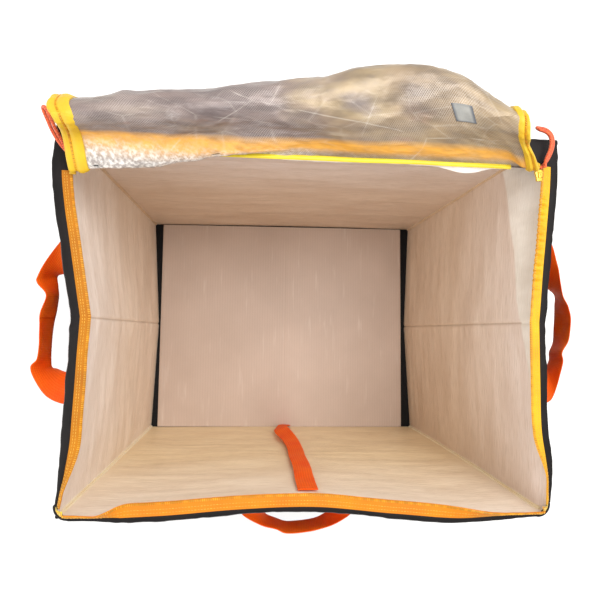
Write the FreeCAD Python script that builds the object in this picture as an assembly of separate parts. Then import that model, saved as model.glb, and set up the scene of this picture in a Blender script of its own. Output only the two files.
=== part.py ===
import FreeCAD, Part
import math
import os

# A soft-sided insulated box bag: open at the top, foldable side walls with a centre crease,
# a flip-back lid on a fold line near the rear rim, a lift-up floor board and webbing handles.
# Millimetres. Origin at the middle of the underside. +Z up, +Y towards the lid's hinge side.

Vector = FreeCAD.Vector
Z_AXIS = Vector(0, 0, 1)

# Driving dimensions
WIDTH = 560.0            # outside, along X
DEPTH = 440.0            # outside, along Y
HEIGHT = 450.0           # floor underside to the top of the back rim
SHELL = 1.0              # outer woven shell
FOAM = 6.0               # closed-cell insulation
LINER = 1.0              # white laminated film
FLOOR = 2.5              # floor cloth
CLEARANCE = 0.4          # between pieces of different bodies
PREFOLD_DEG = 4.0        # how far each side wall is already bent in at its crease

HEM_HEIGHT = 10.0
SIDE_DROP = 0.8          # the side and front rims are a little lower than the back rim
TAPE_WIDTH = 12.0
TAPE_THICK = 1.2
BOARD_GAP = 6.0          # room between the back wall and the folded side walls
BOARD_THICK = 5.0
BOARD_HALF_WIDTH = 253.0
STRAP_WIDTH = 25.0
STRAP_THICK = 1.6
HANDLE_WIDTH = 38.0
HANDLE_THICK = 3.0
HANDLE_TOP = HEIGHT - 47.0
SIDE_HANDLE_SPAN = 164.0
SIDE_HANDLE_REACH = 72.0
FRONT_HANDLE_SPAN = 130.0
FRONT_HANDLE_REACH = 33.0
FRONT_HANDLE_X = -13.0
PATCH_THICK = 2.0
PATCH_HEIGHT = 70.0
LID_FOLD_Y = 182.0       # where the lid folds back
BINDING_HALF = 222.0     # the binding ends clear of the zip sliders as the walls fold
LID_SHELL = 1.2
LID_FOIL = 1.2
LID_HALF_WIDTH = 266.0
LID_LENGTHS = (62.0, 38.0, 302.0)
LID_ANGLES = (62.0, -15.0, -88.0)   # direction of each length, from +Y towards +Z, lid open
SLIDER_SIZE = (10.0, 14.0, 4.5)
LEFT_SLIDER_PLACE = (4.0, 162.0)    # middle: outside the wall's inner face, and its Y
RIGHT_SLIDER_PLACE = (5.0, 178.0)
CORD_DIAMETER = 4.0

# Worked out from the above
WALL = SHELL + FOAM + LINER
WALL_BASE = FLOOR + 0.5
SIDE_TOP = HEIGHT - SIDE_DROP
INNER_X = WIDTH / 2 - WALL
BACK_INNER_Y = DEPTH / 2 - WALL
HINGE_Y = BACK_INNER_Y - BOARD_GAP
HALF_PANEL = (HINGE_Y + BACK_INNER_Y) / 2
CREASE_Y = HINGE_Y - HALF_PANEL
LID_AXIS_Z = HEIGHT + 9.0


def inner_depth(angle_deg):
    """Distance from the rear corner hinge to the front wall's inner face."""
    angle = math.radians(angle_deg)
    return 2 * (WALL * math.sin(angle) + HALF_PANEL * math.cos(angle))


FRONT_INNER_Y = HINGE_Y - inner_depth(PREFOLD_DEG)

os.makedirs("parts", exist_ok=True)


def export(name, shape):
    shape.exportStep("parts/" + name + ".step")
    print(name, len(shape.Solids), "solid(s), valid" if shape.isValid() else "NOT VALID")


def box(x0, x1, y0, y1, z0, z1):
    return Part.makeBox(x1 - x0, y1 - y0, z1 - z0, Vector(x0, y0, z0))


def group(*solids):
    return Part.makeCompound(list(solids))


def turned(shape, axis_x, axis_y, angle_deg):
    copy = shape.copy()
    copy.rotate(Vector(axis_x, axis_y, 0), Z_AXIS, angle_deg)
    return copy


def mirrored(shape):
    return shape.mirror(Vector(0, 0, 0), Vector(1, 0, 0))


# The left wall's two halves are drawn flat and then bent in by the prefold angle.

def bend_left_rear(shape):
    return turned(shape, -INNER_X, HINGE_Y, PREFOLD_DEG)


def bend_left_front(shape):
    folded = turned(shape, -WIDTH / 2, CREASE_Y, -2 * PREFOLD_DEG)
    return bend_left_rear(folded)


def layered_wall(start, end, top):
    """Layers of one wall along local X, inner face at local Y 0 and outer face at Y = WALL."""
    body_top = top - HEM_HEIGHT
    return {
        "liner": box(start, end, 0, LINER, WALL_BASE, body_top),
        "foam": box(start, end, LINER, LINER + FOAM, WALL_BASE, body_top),
        "shell": box(start, end, LINER + FOAM, WALL, WALL_BASE, body_top),
        "rim_hem": box(start, end, 0, WALL, body_top, top),
    }


def zipped_wall(start, end, tape_start, tape_end):
    """A wall with its half of the zip lying inwards from the top of the rim."""
    layers = layered_wall(start, end, SIDE_TOP)
    layers["zip_tape"] = box(tape_start, tape_end, -TAPE_WIDTH, WALL / 2,
                             SIDE_TOP, SIDE_TOP + TAPE_THICK)
    return layers


def stand_wall(shape, turn_deg, x, y):
    placed = turned(shape, 0, 0, turn_deg)
    placed.translate(Vector(x, y, 0))
    return placed


def make_back():
    for part, shape in layered_wall(-WIDTH / 2, WIDTH / 2, HEIGHT).items():
        export("back_" + part, stand_wall(shape, 0, 0, BACK_INNER_Y))
    post = box(-WIDTH / 2, -INNER_X, HINGE_Y + CLEARANCE, BACK_INNER_Y, WALL_BASE, SIDE_TOP)
    export("rear_corner_seams", group(post, mirrored(post)))
    strip_half = LID_HALF_WIDTH - 4
    strip = box(-strip_half, strip_half, LID_FOLD_Y, DEPTH / 2, HEIGHT, HEIGHT + 1.5)
    export("rear_top_strip", strip)
    binding = box(-BINDING_HALF, BINDING_HALF, LID_FOLD_Y - 4, LID_FOLD_Y + 1,
                  HEIGHT + 1.5, HEIGHT + 5.5)
    export("lid_fold_binding", binding)


def make_floor():
    half_x = WIDTH / 2
    export("floor_cloth", box(-half_x, half_x, -DEPTH / 2, DEPTH / 2, 0, FLOOR))
    front_edge = FRONT_INNER_Y + 4
    board_base = FLOOR + 1
    board = box(-BOARD_HALF_WIDTH, BOARD_HALF_WIDTH, front_edge, HINGE_Y - 2, board_base,
                board_base + BOARD_THICK)
    export("floor_board", board)
    strap_x = -10.0
    board_top = board_base + BOARD_THICK
    foot = box(strap_x, strap_x + STRAP_WIDTH, FRONT_INNER_Y + 1, FRONT_INNER_Y + 24,
               board_top, board_top + STRAP_THICK)
    riser = box(strap_x, strap_x + STRAP_WIDTH, FRONT_INNER_Y + 1, FRONT_INNER_Y + 1 + STRAP_THICK,
                board_top, HEIGHT - 58)
    export("pull_strap", foot.fuse(riser).removeSplitter())


def make_side_half(name, layers, bend):
    for part, shape in layers.items():
        flat = stand_wall(shape, 90, -INNER_X, 0)
        left = bend(flat)
        export("left_" + name + "_" + part, left)
        export("right_" + name + "_" + part, mirrored(left))


def make_side_walls():
    rear_layers = zipped_wall(CREASE_Y + CLEARANCE, HINGE_Y - CLEARANCE,
                              CREASE_Y + 1, LID_FOLD_Y - 1)
    make_side_half("rear", rear_layers, bend_left_rear)
    flat_front = HINGE_Y - 2 * HALF_PANEL
    front_layers = zipped_wall(flat_front + CLEARANCE, CREASE_Y - CLEARANCE,
                               flat_front + TAPE_WIDTH + 2, CREASE_Y - 1)
    make_side_half("front", front_layers, bend_left_front)


def make_front():
    layers = zipped_wall(-WIDTH / 2, WIDTH / 2, -INNER_X, INNER_X)
    for part, shape in layers.items():
        export("front_" + part, stand_wall(shape, 180, 0, FRONT_INNER_Y))
    outer_y = FRONT_INNER_Y - WALL
    cord_strip = box(-WIDTH / 2 - SHELL, -WIDTH / 2, outer_y, FRONT_INNER_Y, WALL_BASE, SIDE_TOP)
    export("front_corner_seams", group(cord_strip, mirrored(cord_strip)))


# Webbing handles

def bowed_band(span, reach, thick, height):
    """A band standing on edge whose inner face is an arc from (-span/2, 0) out to Y = -reach."""
    radius = ((span / 2) ** 2 + reach ** 2) / (2 * reach)
    centre_y = radius - reach
    inner_end = Vector(span / 2, 0, 0)
    inner = Part.Arc(Vector(-span / 2, 0, 0), Vector(0, -reach, 0), inner_end)
    outer_half = math.sqrt((radius + thick) ** 2 - centre_y ** 2)
    outer_end = Vector(outer_half, 0, 0)
    outer = Part.Arc(outer_end, Vector(0, -reach - thick, 0), Vector(-outer_half, 0, 0))
    wire = Part.Wire([inner.toShape(), Part.LineSegment(inner_end, outer_end).toShape(),
                      outer.toShape(),
                      Part.LineSegment(Vector(-outer_half, 0, 0), Vector(-span / 2, 0, 0)).toShape()])
    return Part.Face(wire).extrude(Vector(0, 0, height))


def make_handles():
    base_z = HANDLE_TOP - HANDLE_WIDTH
    patch_low = base_z - (PATCH_HEIGHT - HANDLE_WIDTH) / 2
    half_width = HANDLE_WIDTH / 2
    outer_x = -WIDTH / 2 - PATCH_THICK
    for name, bend, side in (("rear", bend_left_rear, 1), ("front", bend_left_front, -1)):
        middle = CREASE_Y + side * SIDE_HANDLE_SPAN / 2
        patch = box(outer_x, -WIDTH / 2, middle - half_width, middle + half_width,
                    patch_low, patch_low + PATCH_HEIGHT)
        left = bend(patch)
        export("left_" + name + "_handle_patch", left)
        export("right_" + name + "_handle_patch", mirrored(left))
    bend_in = (HALF_PANEL - SIDE_HANDLE_SPAN / 2 - half_width) * math.sin(math.radians(PREFOLD_DEG))
    band = bowed_band(SIDE_HANDLE_SPAN, SIDE_HANDLE_REACH, HANDLE_THICK, HANDLE_WIDTH)
    band.rotate(Vector(0, 0, 0), Z_AXIS, -90)
    band.translate(Vector(outer_x + bend_in - CLEARANCE, CREASE_Y, base_z))
    export("left_handle", band)
    export("right_handle", mirrored(band))
    outer_y = FRONT_INNER_Y - WALL
    front_patches = []
    for side in (-1, 1):
        middle = FRONT_HANDLE_X + side * FRONT_HANDLE_SPAN / 2
        front_patches.append(box(middle - half_width, middle + half_width, outer_y - PATCH_THICK,
                                 outer_y, patch_low, patch_low + PATCH_HEIGHT))
    export("front_handle_patches", group(*front_patches))
    front = bowed_band(FRONT_HANDLE_SPAN, FRONT_HANDLE_REACH, HANDLE_THICK, HANDLE_WIDTH)
    front.translate(Vector(FRONT_HANDLE_X, outer_y - PATCH_THICK, base_z))
    export("front_handle", front)


# Lid: three lengths, each drawn flat with its outer face on the fold axis and then turned

def place_lid_length(shape, start, angle_deg):
    placed = shape.copy()
    placed.rotate(Vector(0, 0, 0), Vector(1, 0, 0), angle_deg)
    placed.translate(start)
    return placed


def make_lid():
    start = Vector(0, LID_FOLD_Y, LID_AXIS_Z)
    gap = CLEARANCE / 2
    cloth_half = LID_HALF_WIDTH - TAPE_WIDTH
    both = LID_SHELL + LID_FOIL
    for index, (length, angle_deg) in enumerate(zip(LID_LENGTHS, LID_ANGLES), 1):
        last = index == len(LID_LENGTHS)
        cloth_end = length - TAPE_WIDTH if last else length - gap
        name = "lid_" + str(index)
        shell = box(-cloth_half, cloth_half, gap, cloth_end, 0, LID_SHELL)
        foil = box(-cloth_half, cloth_half, gap, cloth_end, LID_SHELL, both)
        left_tape = box(-LID_HALF_WIDTH, -cloth_half, gap, length - gap, 0, both)
        tape = group(left_tape, mirrored(left_tape))
        if last:
            end_tape = box(-cloth_half, cloth_half, cloth_end, length - gap, 0, both)
            tape = left_tape.fuse([mirrored(left_tape), end_tape]).removeSplitter()
        export(name + "_shell", place_lid_length(shell, start, angle_deg))
        export(name + "_foil", place_lid_length(foil, start, angle_deg))
        export(name + "_zip_tape", place_lid_length(tape, start, angle_deg))
        if index == 1:
            label = box(165, 190, 38, 56, both, both + 0.3)
            export("lid_label", place_lid_length(label, start, angle_deg))
        angle = math.radians(angle_deg)
        start = start + Vector(0, length * math.cos(angle), length * math.sin(angle))
        print(name, "ends at Y %.2f Z %.2f" % (start.y, start.z))


# Zip sliders and their cord loops

def slider(outward, middle_y):
    """A slider on the left wall, as bent by the prefold angle."""
    size_x, size_y, size_z = SLIDER_SIZE
    base = SIDE_TOP + TAPE_THICK + 0.3
    middle_x = -INNER_X - outward
    body = box(middle_x - size_x / 2, middle_x + size_x / 2, middle_y - size_y / 2,
               middle_y + size_y / 2, base, base + size_z)
    upright = [edge for edge in body.Edges if abs(edge.tangentAt(0).z) > 0.9]
    return bend_left_rear(body.makeFillet(2.5, upright))


def make_sliders():
    export("left_slider", slider(*LEFT_SLIDER_PLACE))
    export("right_slider", mirrored(slider(*RIGHT_SLIDER_PLACE)))


def cord_tube(name, route, diameter):
    """Straight runs joined by tangent arcs, each as large as its two runs allow."""
    points = [Vector(*point) for point in route]
    edges = []
    radii = []
    last = points[0]
    for before, corner, after in zip(points, points[1:], points[2:]):
        into = corner - before
        out = after - corner
        shorter = min(into.Length, out.Length)
        half_turn = into.getAngle(out) / 2
        cut = 0.45 * shorter
        radii.append(cut / math.tan(half_turn))
        into.normalize()
        out.normalize()
        arc_start = corner - into * cut
        arc_end = corner + out * cut
        sideways = (out - into).normalize()
        arc_middle = corner + sideways * (radii[-1] / math.cos(half_turn) - radii[-1])
        edges.append(Part.LineSegment(last, arc_start).toShape())
        edges.append(Part.Arc(arc_start, arc_middle, arc_end).toShape())
        last = arc_end
    edges.append(Part.LineSegment(last, points[-1]).toShape())
    path = Part.Wire(edges)
    first_direction = (points[1] - points[0]).normalize()
    ring = Part.Wire(Part.makeCircle(diameter / 2, points[0], first_direction))
    tube = path.makePipeShell([ring], True, True)
    wanted = math.pi * (diameter / 2) ** 2 * path.Length
    print(name, "length %.1f" % path.Length, "radii", [round(r, 1) for r in radii],
          "volume ratio %.4f" % (tube.Volume / wanted))
    export(name, tube)


# Each loop stands on edge: out over the rim on its lower strand, back on the upper one.
LEFT_PULL_ROUTE = (
    (-271.5, 170.4, 453.2), (-277.2, 179.0, 453.6), (-283.4, 188.0, 453.8), (-289.6, 197.2, 453.8),
    (-295.2, 206.6, 453.6), (-299.6, 215.6, 453.4), (-302.0, 222.5, 453.4), (-302.8, 225.0, 457.9),
    (-300.3, 223.0, 462.3), (-297.6, 213.6, 462.6), (-293.0, 204.3, 462.2), (-287.4, 195.0, 461.4),
    (-281.8, 186.0, 460.4), (-277.2, 177.6, 459.2), (-276.4, 171.0, 456.6))
RIGHT_PULL_ROUTE = (
    (276.5, 186.4, 453.2), (280.6, 193.4, 453.6), (285.2, 202.0, 453.8), (289.4, 211.4, 453.8),
    (291.6, 220.6, 453.6), (289.8, 228.4, 453.8), (283.4, 233.0, 454.0), (275.2, 234.2, 454.2),
    (272.6, 234.5, 458.7), (274.6, 232.4, 463.1), (281.8, 230.6, 463.0), (286.6, 226.0, 462.8),
    (288.4, 217.6, 462.6), (286.2, 208.2, 462.2), (282.6, 199.0, 461.2), (280.0, 191.6, 459.4),
    (280.6, 186.6, 456.8))

make_back()
make_floor()
make_side_walls()
make_front()
make_handles()
make_lid()
make_sliders()
cord_tube("left_pull_cord", LEFT_PULL_ROUTE, CORD_DIAMETER)
cord_tube("right_pull_cord", RIGHT_PULL_ROUTE, CORD_DIAMETER)
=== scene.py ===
import bmesh
import bpy
import numpy as np
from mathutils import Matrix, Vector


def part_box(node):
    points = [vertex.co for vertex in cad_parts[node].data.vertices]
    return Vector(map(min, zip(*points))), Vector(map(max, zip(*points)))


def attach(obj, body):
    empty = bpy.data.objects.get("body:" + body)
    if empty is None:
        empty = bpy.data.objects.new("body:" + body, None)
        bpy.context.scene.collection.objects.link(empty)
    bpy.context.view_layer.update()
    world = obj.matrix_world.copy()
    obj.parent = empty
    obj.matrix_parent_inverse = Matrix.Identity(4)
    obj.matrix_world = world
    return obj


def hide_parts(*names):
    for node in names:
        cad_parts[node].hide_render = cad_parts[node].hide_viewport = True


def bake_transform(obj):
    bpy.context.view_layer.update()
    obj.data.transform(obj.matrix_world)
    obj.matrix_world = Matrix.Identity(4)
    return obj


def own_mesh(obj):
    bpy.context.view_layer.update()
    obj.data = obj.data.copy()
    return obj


# A soft-sided insulated box bag, open at the top, with its lid thrown back over the rear rim.
# Shapes are worked out in millimetres and written to the meshes in metres.

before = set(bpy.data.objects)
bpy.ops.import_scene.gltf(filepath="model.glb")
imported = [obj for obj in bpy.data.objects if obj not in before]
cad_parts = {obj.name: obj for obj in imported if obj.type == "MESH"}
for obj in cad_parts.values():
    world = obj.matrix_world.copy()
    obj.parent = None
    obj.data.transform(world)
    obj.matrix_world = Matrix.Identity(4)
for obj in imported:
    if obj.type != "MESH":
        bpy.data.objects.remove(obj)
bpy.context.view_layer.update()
MM = 0.001

# ---------------------------------------------------------------- camera

camera_data = bpy.data.cameras.new("camera")
camera_data.sensor_width = 36.0
camera_data.lens = 27.64
camera = bpy.data.objects.new("camera", camera_data)
camera.location = (-0.0702, -0.0169, 0.975)
camera.rotation_euler = (0.06785, -0.09998, 0.01054)
bpy.context.scene.collection.objects.link(camera)
bpy.context.scene.camera = camera


# ---------------------------------------------------------------- materials

SOCKETS = {"shine": "Specular IOR Level", "sheen": "Sheen Weight", "metallic": "Metallic",
           "coat": "Coat Weight"}


def rgba(colour):
    """An opaque colour, from three values or from one for grey."""
    return (*(np.ones(3) * colour), 1)


class Shader:
    """A Principled material whose patterns lie on each piece's flat coordinates, in metres."""

    def __init__(self, name, colour, roughness, **sockets):
        self.material = bpy.data.materials.new(name)
        self.material.use_nodes = True
        self.tree = self.material.node_tree
        self.bsdf = self.tree.nodes["Principled BSDF"]
        self.bsdf.inputs["Base Color"].default_value = rgba(colour)
        self.bsdf.inputs["Roughness"].default_value = roughness
        for socket, value in sockets.items():
            self.bsdf.inputs[SOCKETS[socket]].default_value = value
        self.flat = self.node("ShaderNodeUVMap", uv_map="flat").outputs["UV"]
        self.normal = None

    def node(self, kind, inputs=None, **settings):
        made = self.tree.nodes.new(kind)
        for name, value in settings.items():
            setattr(made, name, value)
        for name, value in (inputs or {}).items():
            if isinstance(value, bpy.types.NodeSocket):
                self.tree.links.new(value, made.inputs[name])
            else:
                made.inputs[name].default_value = value
        return made

    def placed(self, scale=(1, 1, 1), turn=0.0, source=None):
        return self.node("ShaderNodeMapping", {"Vector": source or self.flat, "Scale": scale,
                                               "Rotation": (0, 0, turn)}).outputs[0]

    def noise(self, scale, stretch=(1, 1, 1), turn=0.0, detail=3.0, source=None):
        return self.node("ShaderNodeTexNoise", {"Vector": self.placed(stretch, turn, source),
                                                "Scale": scale, "Detail": detail}).outputs[0]

    def bands(self, pitch, direction="X", turn=0.0, distortion=0.0, profile="SIN"):
        """Parallel bands, one every pitch metres."""
        return self.node("ShaderNodeTexWave", {"Vector": self.placed(turn=turn),
                                               "Scale": 0.314 / pitch, "Distortion": distortion},
                         bands_direction=direction, wave_profile=profile).outputs["Fac"]

    def sum(self, first, second, operation="ADD"):
        return self.node("ShaderNodeMath", {0: first, 1: second}, operation=operation).outputs[0]

    def steps(self, factor, *stops):
        ramp = self.node("ShaderNodeValToRGB", {"Fac": factor})
        elements = ramp.color_ramp.elements
        while len(elements) < len(stops):
            elements.new(0.5)
        for element, (at, colour) in zip(elements, stops):
            element.position = at
            element.color = rgba(colour)
        return ramp.outputs["Color"]

    def window(self, factor, low, high, soft):
        """1 between low and high, fading out over soft."""
        return self.steps(factor, (low - soft, 0), (low, 1), (high, 1), (high + soft, 0))

    def mix(self, factor, first, second, blend="MIX"):
        made = self.node("ShaderNodeMix", {"Factor": factor}, data_type="RGBA", blend_type=blend)
        for socket, value in ((6, first), (7, second)):
            if isinstance(value, bpy.types.NodeSocket):
                self.tree.links.new(value, made.inputs[socket])
            else:
                made.inputs[socket].default_value = rgba(value)
        return made.outputs[2]

    def times(self, first, second):
        return self.mix(1.0, first, second, "MULTIPLY")

    def places(self):
        """The flat coordinates, across and along the piece."""
        split = self.node("ShaderNodeSeparateXYZ", {0: self.flat})
        return split.outputs[0], split.outputs[1]

    def colour(self, socket):
        self.tree.links.new(socket, self.bsdf.inputs["Base Color"])

    def rough(self, socket, low, high):
        spread = self.node("ShaderNodeMapRange", {"Value": socket, "To Min": low, "To Max": high})
        self.tree.links.new(spread.outputs[0], self.bsdf.inputs["Roughness"])

    def bump(self, height, strength, distance):
        made = self.node("ShaderNodeBump", {"Height": height, "Strength": strength,
                                            "Distance": distance})
        if self.normal is not None:
            self.tree.links.new(self.normal, made.inputs["Normal"])
        self.normal = made.outputs[0]
        self.tree.links.new(self.normal, self.bsdf.inputs["Normal"])

    def weave(self, pitch, strength=0.5, turn=0.0):
        over = self.bands(pitch, "X", turn)
        under = self.bands(pitch, "Y", turn)
        crossed = self.sum(over, under, "MULTIPLY")
        self.bump(crossed, strength, pitch * 0.25)
        return crossed


def along_wall(made, across):
    """0 at one end of a side wall, 0.5 at its crease and 1 at the other end."""
    return made.sum(made.sum(across, 2.36, "MULTIPLY"), 0.5)


def film_shader(name, low, high, shaded_crease=False):
    """Laminated film with fine streaks along the rim; low and high are its tones by height, painted
    shade that makes it darker and warmer towards the floor.
    """
    made = Shader(name, high, 0.42, shine=0.45)
    across, height = made.places()
    ripple = made.noise(46, (1, 13, 1), detail=5)
    cloud = made.noise(8, (1, 2.4, 1), detail=3)
    # painted shade: darker and warmer low in the box, lighter near the rim
    painted_depth_shade = made.steps(made.sum(height, 2.2, "MULTIPLY"), (0.05, low), (0.5, low), (1.0, high))
    soft = made.steps(cloud, (0.3, (0.90, 0.87, 0.84)), (0.7, 1))
    streak = made.steps(ripple, (0.32, (0.86, 0.83, 0.79)), (0.5, (0.97, 0.96, 0.95)), (0.7, 1))
    tone = made.times(made.times(painted_depth_shade, streak), soft)
    if shaded_crease:
        # painted shade: a dark line down the wall's crease
        line = made.window(along_wall(made, across), 0.4985, 0.5012, 0.0016)
        tone = made.mix(made.times(line, 0.6), tone, (0.36, 0.24, 0.15))
    made.colour(tone)
    made.bump(ripple, 0.7, 0.0012)
    made.bump(made.noise(420, (1, 1.6, 1), detail=2), 0.18, 0.0002)
    made.rough(made.noise(30, (1, 3, 1)), 0.34, 0.55)
    return made, tone


def film_material(*look):
    return film_shader(*look)[0].material


def folded_film(name, low, high, painted_light_tone):
    """The right wall's film: whiter above the fold that runs down from the rear corner, painted
    light for its lit upper face.
    """
    made, tone = film_shader(name, low, high, True)
    across, height = made.places()
    # painted light: the film above this fold line is drawn whiter, as if lit
    line = made.steps(along_wall(made, across), (0.0, 0.738), (0.28, 0.803), (0.43, 0.818),
                      (0.51, 0.842), (0.70, 0.872), (0.76, 1.0))
    above = made.sum(made.sum(height, 2.0, "MULTIPLY"), line, "SUBTRACT")
    painted_light_mask = made.steps(made.sum(above, 24.0, "MULTIPLY"), (0.0, 0), (0.16, 1))
    soft = made.steps(made.noise(24, (1, 0.6, 1), turn=0.8, detail=3), (0.35, (0.86, 0.84, 0.81)),
                      (0.6, 1))
    made.colour(made.mix(painted_light_mask, tone, made.times(soft, painted_light_tone)))
    return made.material


def foil_material():
    """Metallised film with a fine diagonal scrim, thin enough for the orange band to show."""
    made = Shader("lid_foil", (0.3, 0.25, 0.2), 0.38, metallic=0.15, shine=0.6)
    across, down = made.places()
    cloud = made.noise(7.5, (1, 2.3, 1), turn=0.15, detail=5)
    cool = made.steps(cloud, (0.32, (0.125, 0.095, 0.098)), (0.5, (0.19, 0.15, 0.145)),
                      (0.66, (0.26, 0.215, 0.18)))
    warm = made.steps(cloud, (0.32, (0.15, 0.11, 0.075)), (0.48, (0.245, 0.18, 0.105)),
                      (0.60, (0.32, 0.25, 0.15)), (0.72, (0.22, 0.18, 0.175)))
    spread = made.sum(across, made.sum(cloud, 0.5, "MULTIPLY"))
    tone = made.mix(made.steps(spread, (0.46, 0), (0.60, 1)), cool, warm)
    patches = made.noise(26, (1, 3.2, 1), turn=-0.3, detail=6)
    tone = made.mix(0.6, tone, made.steps(patches, (0.35, (0.28, 0.25, 0.24)),
                                          (0.62, (0.66, 0.61, 0.55))), "OVERLAY")
    blush = made.steps(made.noise(13, (1, 2, 1), turn=0.6, detail=4), (0.60, 0), (0.72, 0.45))
    near = made.steps(down, (0.02, 0), (0.035, 1), (0.06, 0))
    tone = made.mix(made.times(blush, near), tone, (0.52, 0.17, 0.14))
    one = made.bands(0.0020, "X", 0.74)
    two = made.bands(0.0020, "X", -0.70)
    scrim = made.sum(one, two, "MAXIMUM")
    lines = made.steps(scrim, (0.78, 0), (0.98, 1))
    shown = made.steps(made.noise(11, (1, 1.5, 1), turn=0.5, detail=4), (0.36, 0.04), (0.62, 0.5))
    tone = made.mix(made.times(lines, shown), tone, (0.60, 0.54, 0.50))
    band = made.window(down, 0.0115, 0.0205, 0.006)
    worn = made.steps(made.noise(48, (1, 2.5, 1), detail=4), (0.3, 0.7), (0.6, 1))
    tone = made.mix(made.times(band, worn), tone, (0.84, 0.42, 0.06))
    # painted highlights: pale lines along the foil's creases, as if catching the light
    for seed_turn, scale, wide, strength in ((0.55, 5, 0.004, 0.35), (-0.35, 9, 0.006, 0.22),
                                             (1.2, 30, 0.03, 0.14)):
        cells = made.node("ShaderNodeTexVoronoi", {
            "Vector": made.placed((0.55, 1.3, 1), seed_turn), "Scale": scale},
            feature="DISTANCE_TO_EDGE").outputs["Distance"]
        crease = made.steps(cells, (0.0, 1), (wide, 0))
        broken = made.steps(made.noise(30, detail=3), (0.45, 0), (0.62, strength))
        tone = made.mix(made.times(crease, broken), tone, (0.80, 0.74, 0.66))
    glint = made.steps(made.noise(230, (1, 2.1, 1), turn=0.4, detail=8), (0.42, 0.25),
                       (0.62, 0.85))
    low_edge = made.steps(down, (0.0, 1), (0.009, 0.8), (0.014, 0.12), (0.05, 0.02))
    left = made.steps(across, (0.02, 1), (0.20, 0.75), (0.27, 0.12))
    left_glints = made.times(made.times(glint, low_edge), left)
    tone = made.mix(left_glints, tone, (0.97, 0.94, 0.88))
    # painted glints in scattered patches on the left of the lid
    glint_patch = made.steps(made.noise(10, (1, 1.4, 1), turn=0.9, detail=3), (0.58, 0),
                            (0.68, 0.5))
    sparkle = made.times(made.times(glint, glint_patch), left)
    made.colour(made.mix(sparkle, tone, (0.92, 0.88, 0.86)))
    made.rough(patches, 0.28, 0.52)
    made.bump(made.noise(70, (1, 2.2, 1), turn=0.4, detail=6), 0.6, 0.0018)
    made.bump(scrim, 0.25, 0.0002)
    return made.material


def woven_material(name, colour, darker, pitch, roughness=0.7, sheen=0.2, strength=0.5,
                   shine=0.5):
    """Plain weave: pitch is the distance between its threads in metres."""
    made = Shader(name, colour, roughness, sheen=sheen, shine=shine)
    crossed = made.weave(pitch, strength)
    cloud = made.noise(28, detail=4)
    worn = made.steps(cloud, (0.3, darker), (0.65, colour))
    threads = made.steps(crossed, (0.0, 0.72), (0.55, 1))
    made.colour(made.times(worn, threads))
    made.bump(made.noise(160, detail=3), 0.25, 0.0005)
    made.rough(cloud, roughness - 0.08, roughness + 0.1)
    return made.material


def webbing_material(name, colour, darker):
    """Ribbed webbing: fine ribs across, with the weave's rows showing along it."""
    made = Shader(name, colour, 0.6, shine=0.2)
    ribs = made.bands(0.0021, "X", distortion=0.6)
    rows = made.bands(0.0032, "Y")
    cloth = made.sum(ribs, rows, "MULTIPLY")
    cloud = made.noise(35, detail=4)
    tone = made.steps(cloud, (0.3, darker), (0.62, colour))
    made.colour(made.times(tone, made.steps(cloth, (0, (0.88, 0.84, 0.80)), (0.5, 1))))
    made.bump(cloth, 0.6, 0.0005)
    made.bump(made.noise(110, detail=2), 0.2, 0.0006)
    return made.material


def board_material():
    made = Shader("board_plastic", (0.74, 0.63, 0.57), 0.45, shine=0.4)
    cloud = made.noise(6, detail=5)
    tone = made.steps(cloud, (0.3, (0.50, 0.385, 0.315)), (0.7, (0.60, 0.475, 0.40)))
    flute = made.bands(0.0052, "X")
    made.bump(flute, 0.25, 0.0003)
    scuff = made.noise(22, (5, 0.5, 1), turn=-0.75, detail=6)
    marks = made.steps(scuff, (0.60, 0), (0.74, 0.35))
    tone = made.mix(made.steps(flute, (0.0, 0.1), (0.35, 0)), tone, (0.30, 0.21, 0.16))
    made.colour(made.mix(marks, tone, (0.74, 0.65, 0.58)))
    made.rough(cloud, 0.36, 0.6)
    return made.material


def cord_material():
    made = Shader("pull_cord", (0.80, 0.10, 0.02), 0.6, sheen=0.3)
    place = made.node("ShaderNodeTexCoord").outputs["Object"]
    braid = made.noise(900, (1, 1, 1), detail=1, source=place)
    made.colour(made.steps(braid, (0.36, (0.42, 0.03, 0.008)), (0.6, (0.90, 0.15, 0.03))))
    made.bump(braid, 0.6, 0.0006)
    return made.material


def metal_material():
    made = Shader("slider_metal", (0.86, 0.55, 0.04), 0.32, metallic=0.35, coat=0.3)
    place = made.node("ShaderNodeTexCoord").outputs["Object"]
    wear = made.noise(500, detail=4, source=place)
    made.colour(made.steps(wear, (0.38, (0.45, 0.28, 0.03)), (0.55, (0.90, 0.60, 0.05))))
    made.rough(wear, 0.25, 0.5)
    return made.material


def label_material():
    made = Shader("label", (0.22, 0.22, 0.21), 0.5, shine=0.35)
    weave = made.weave(0.0011, 0.4)
    across, along = made.places()
    grain = made.mix(made.noise(90, detail=4), (0.20, 0.205, 0.20), (0.36, 0.35, 0.32))
    wide = made.window(across, 0.0094, 0.0306, 0.0006)
    tall = made.window(along, 0.0115, 0.0285, 0.0006)
    inside = made.times(wide, tall)
    made.colour(made.mix(inside, (0.09, 0.10, 0.12), grain))
    made.rough(weave, 0.42, 0.6)
    return made.material


# One liner film in lit and shaded copies: painted light on the left and front walls and the turned
# edge, painted shade on the back and right walls
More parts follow.
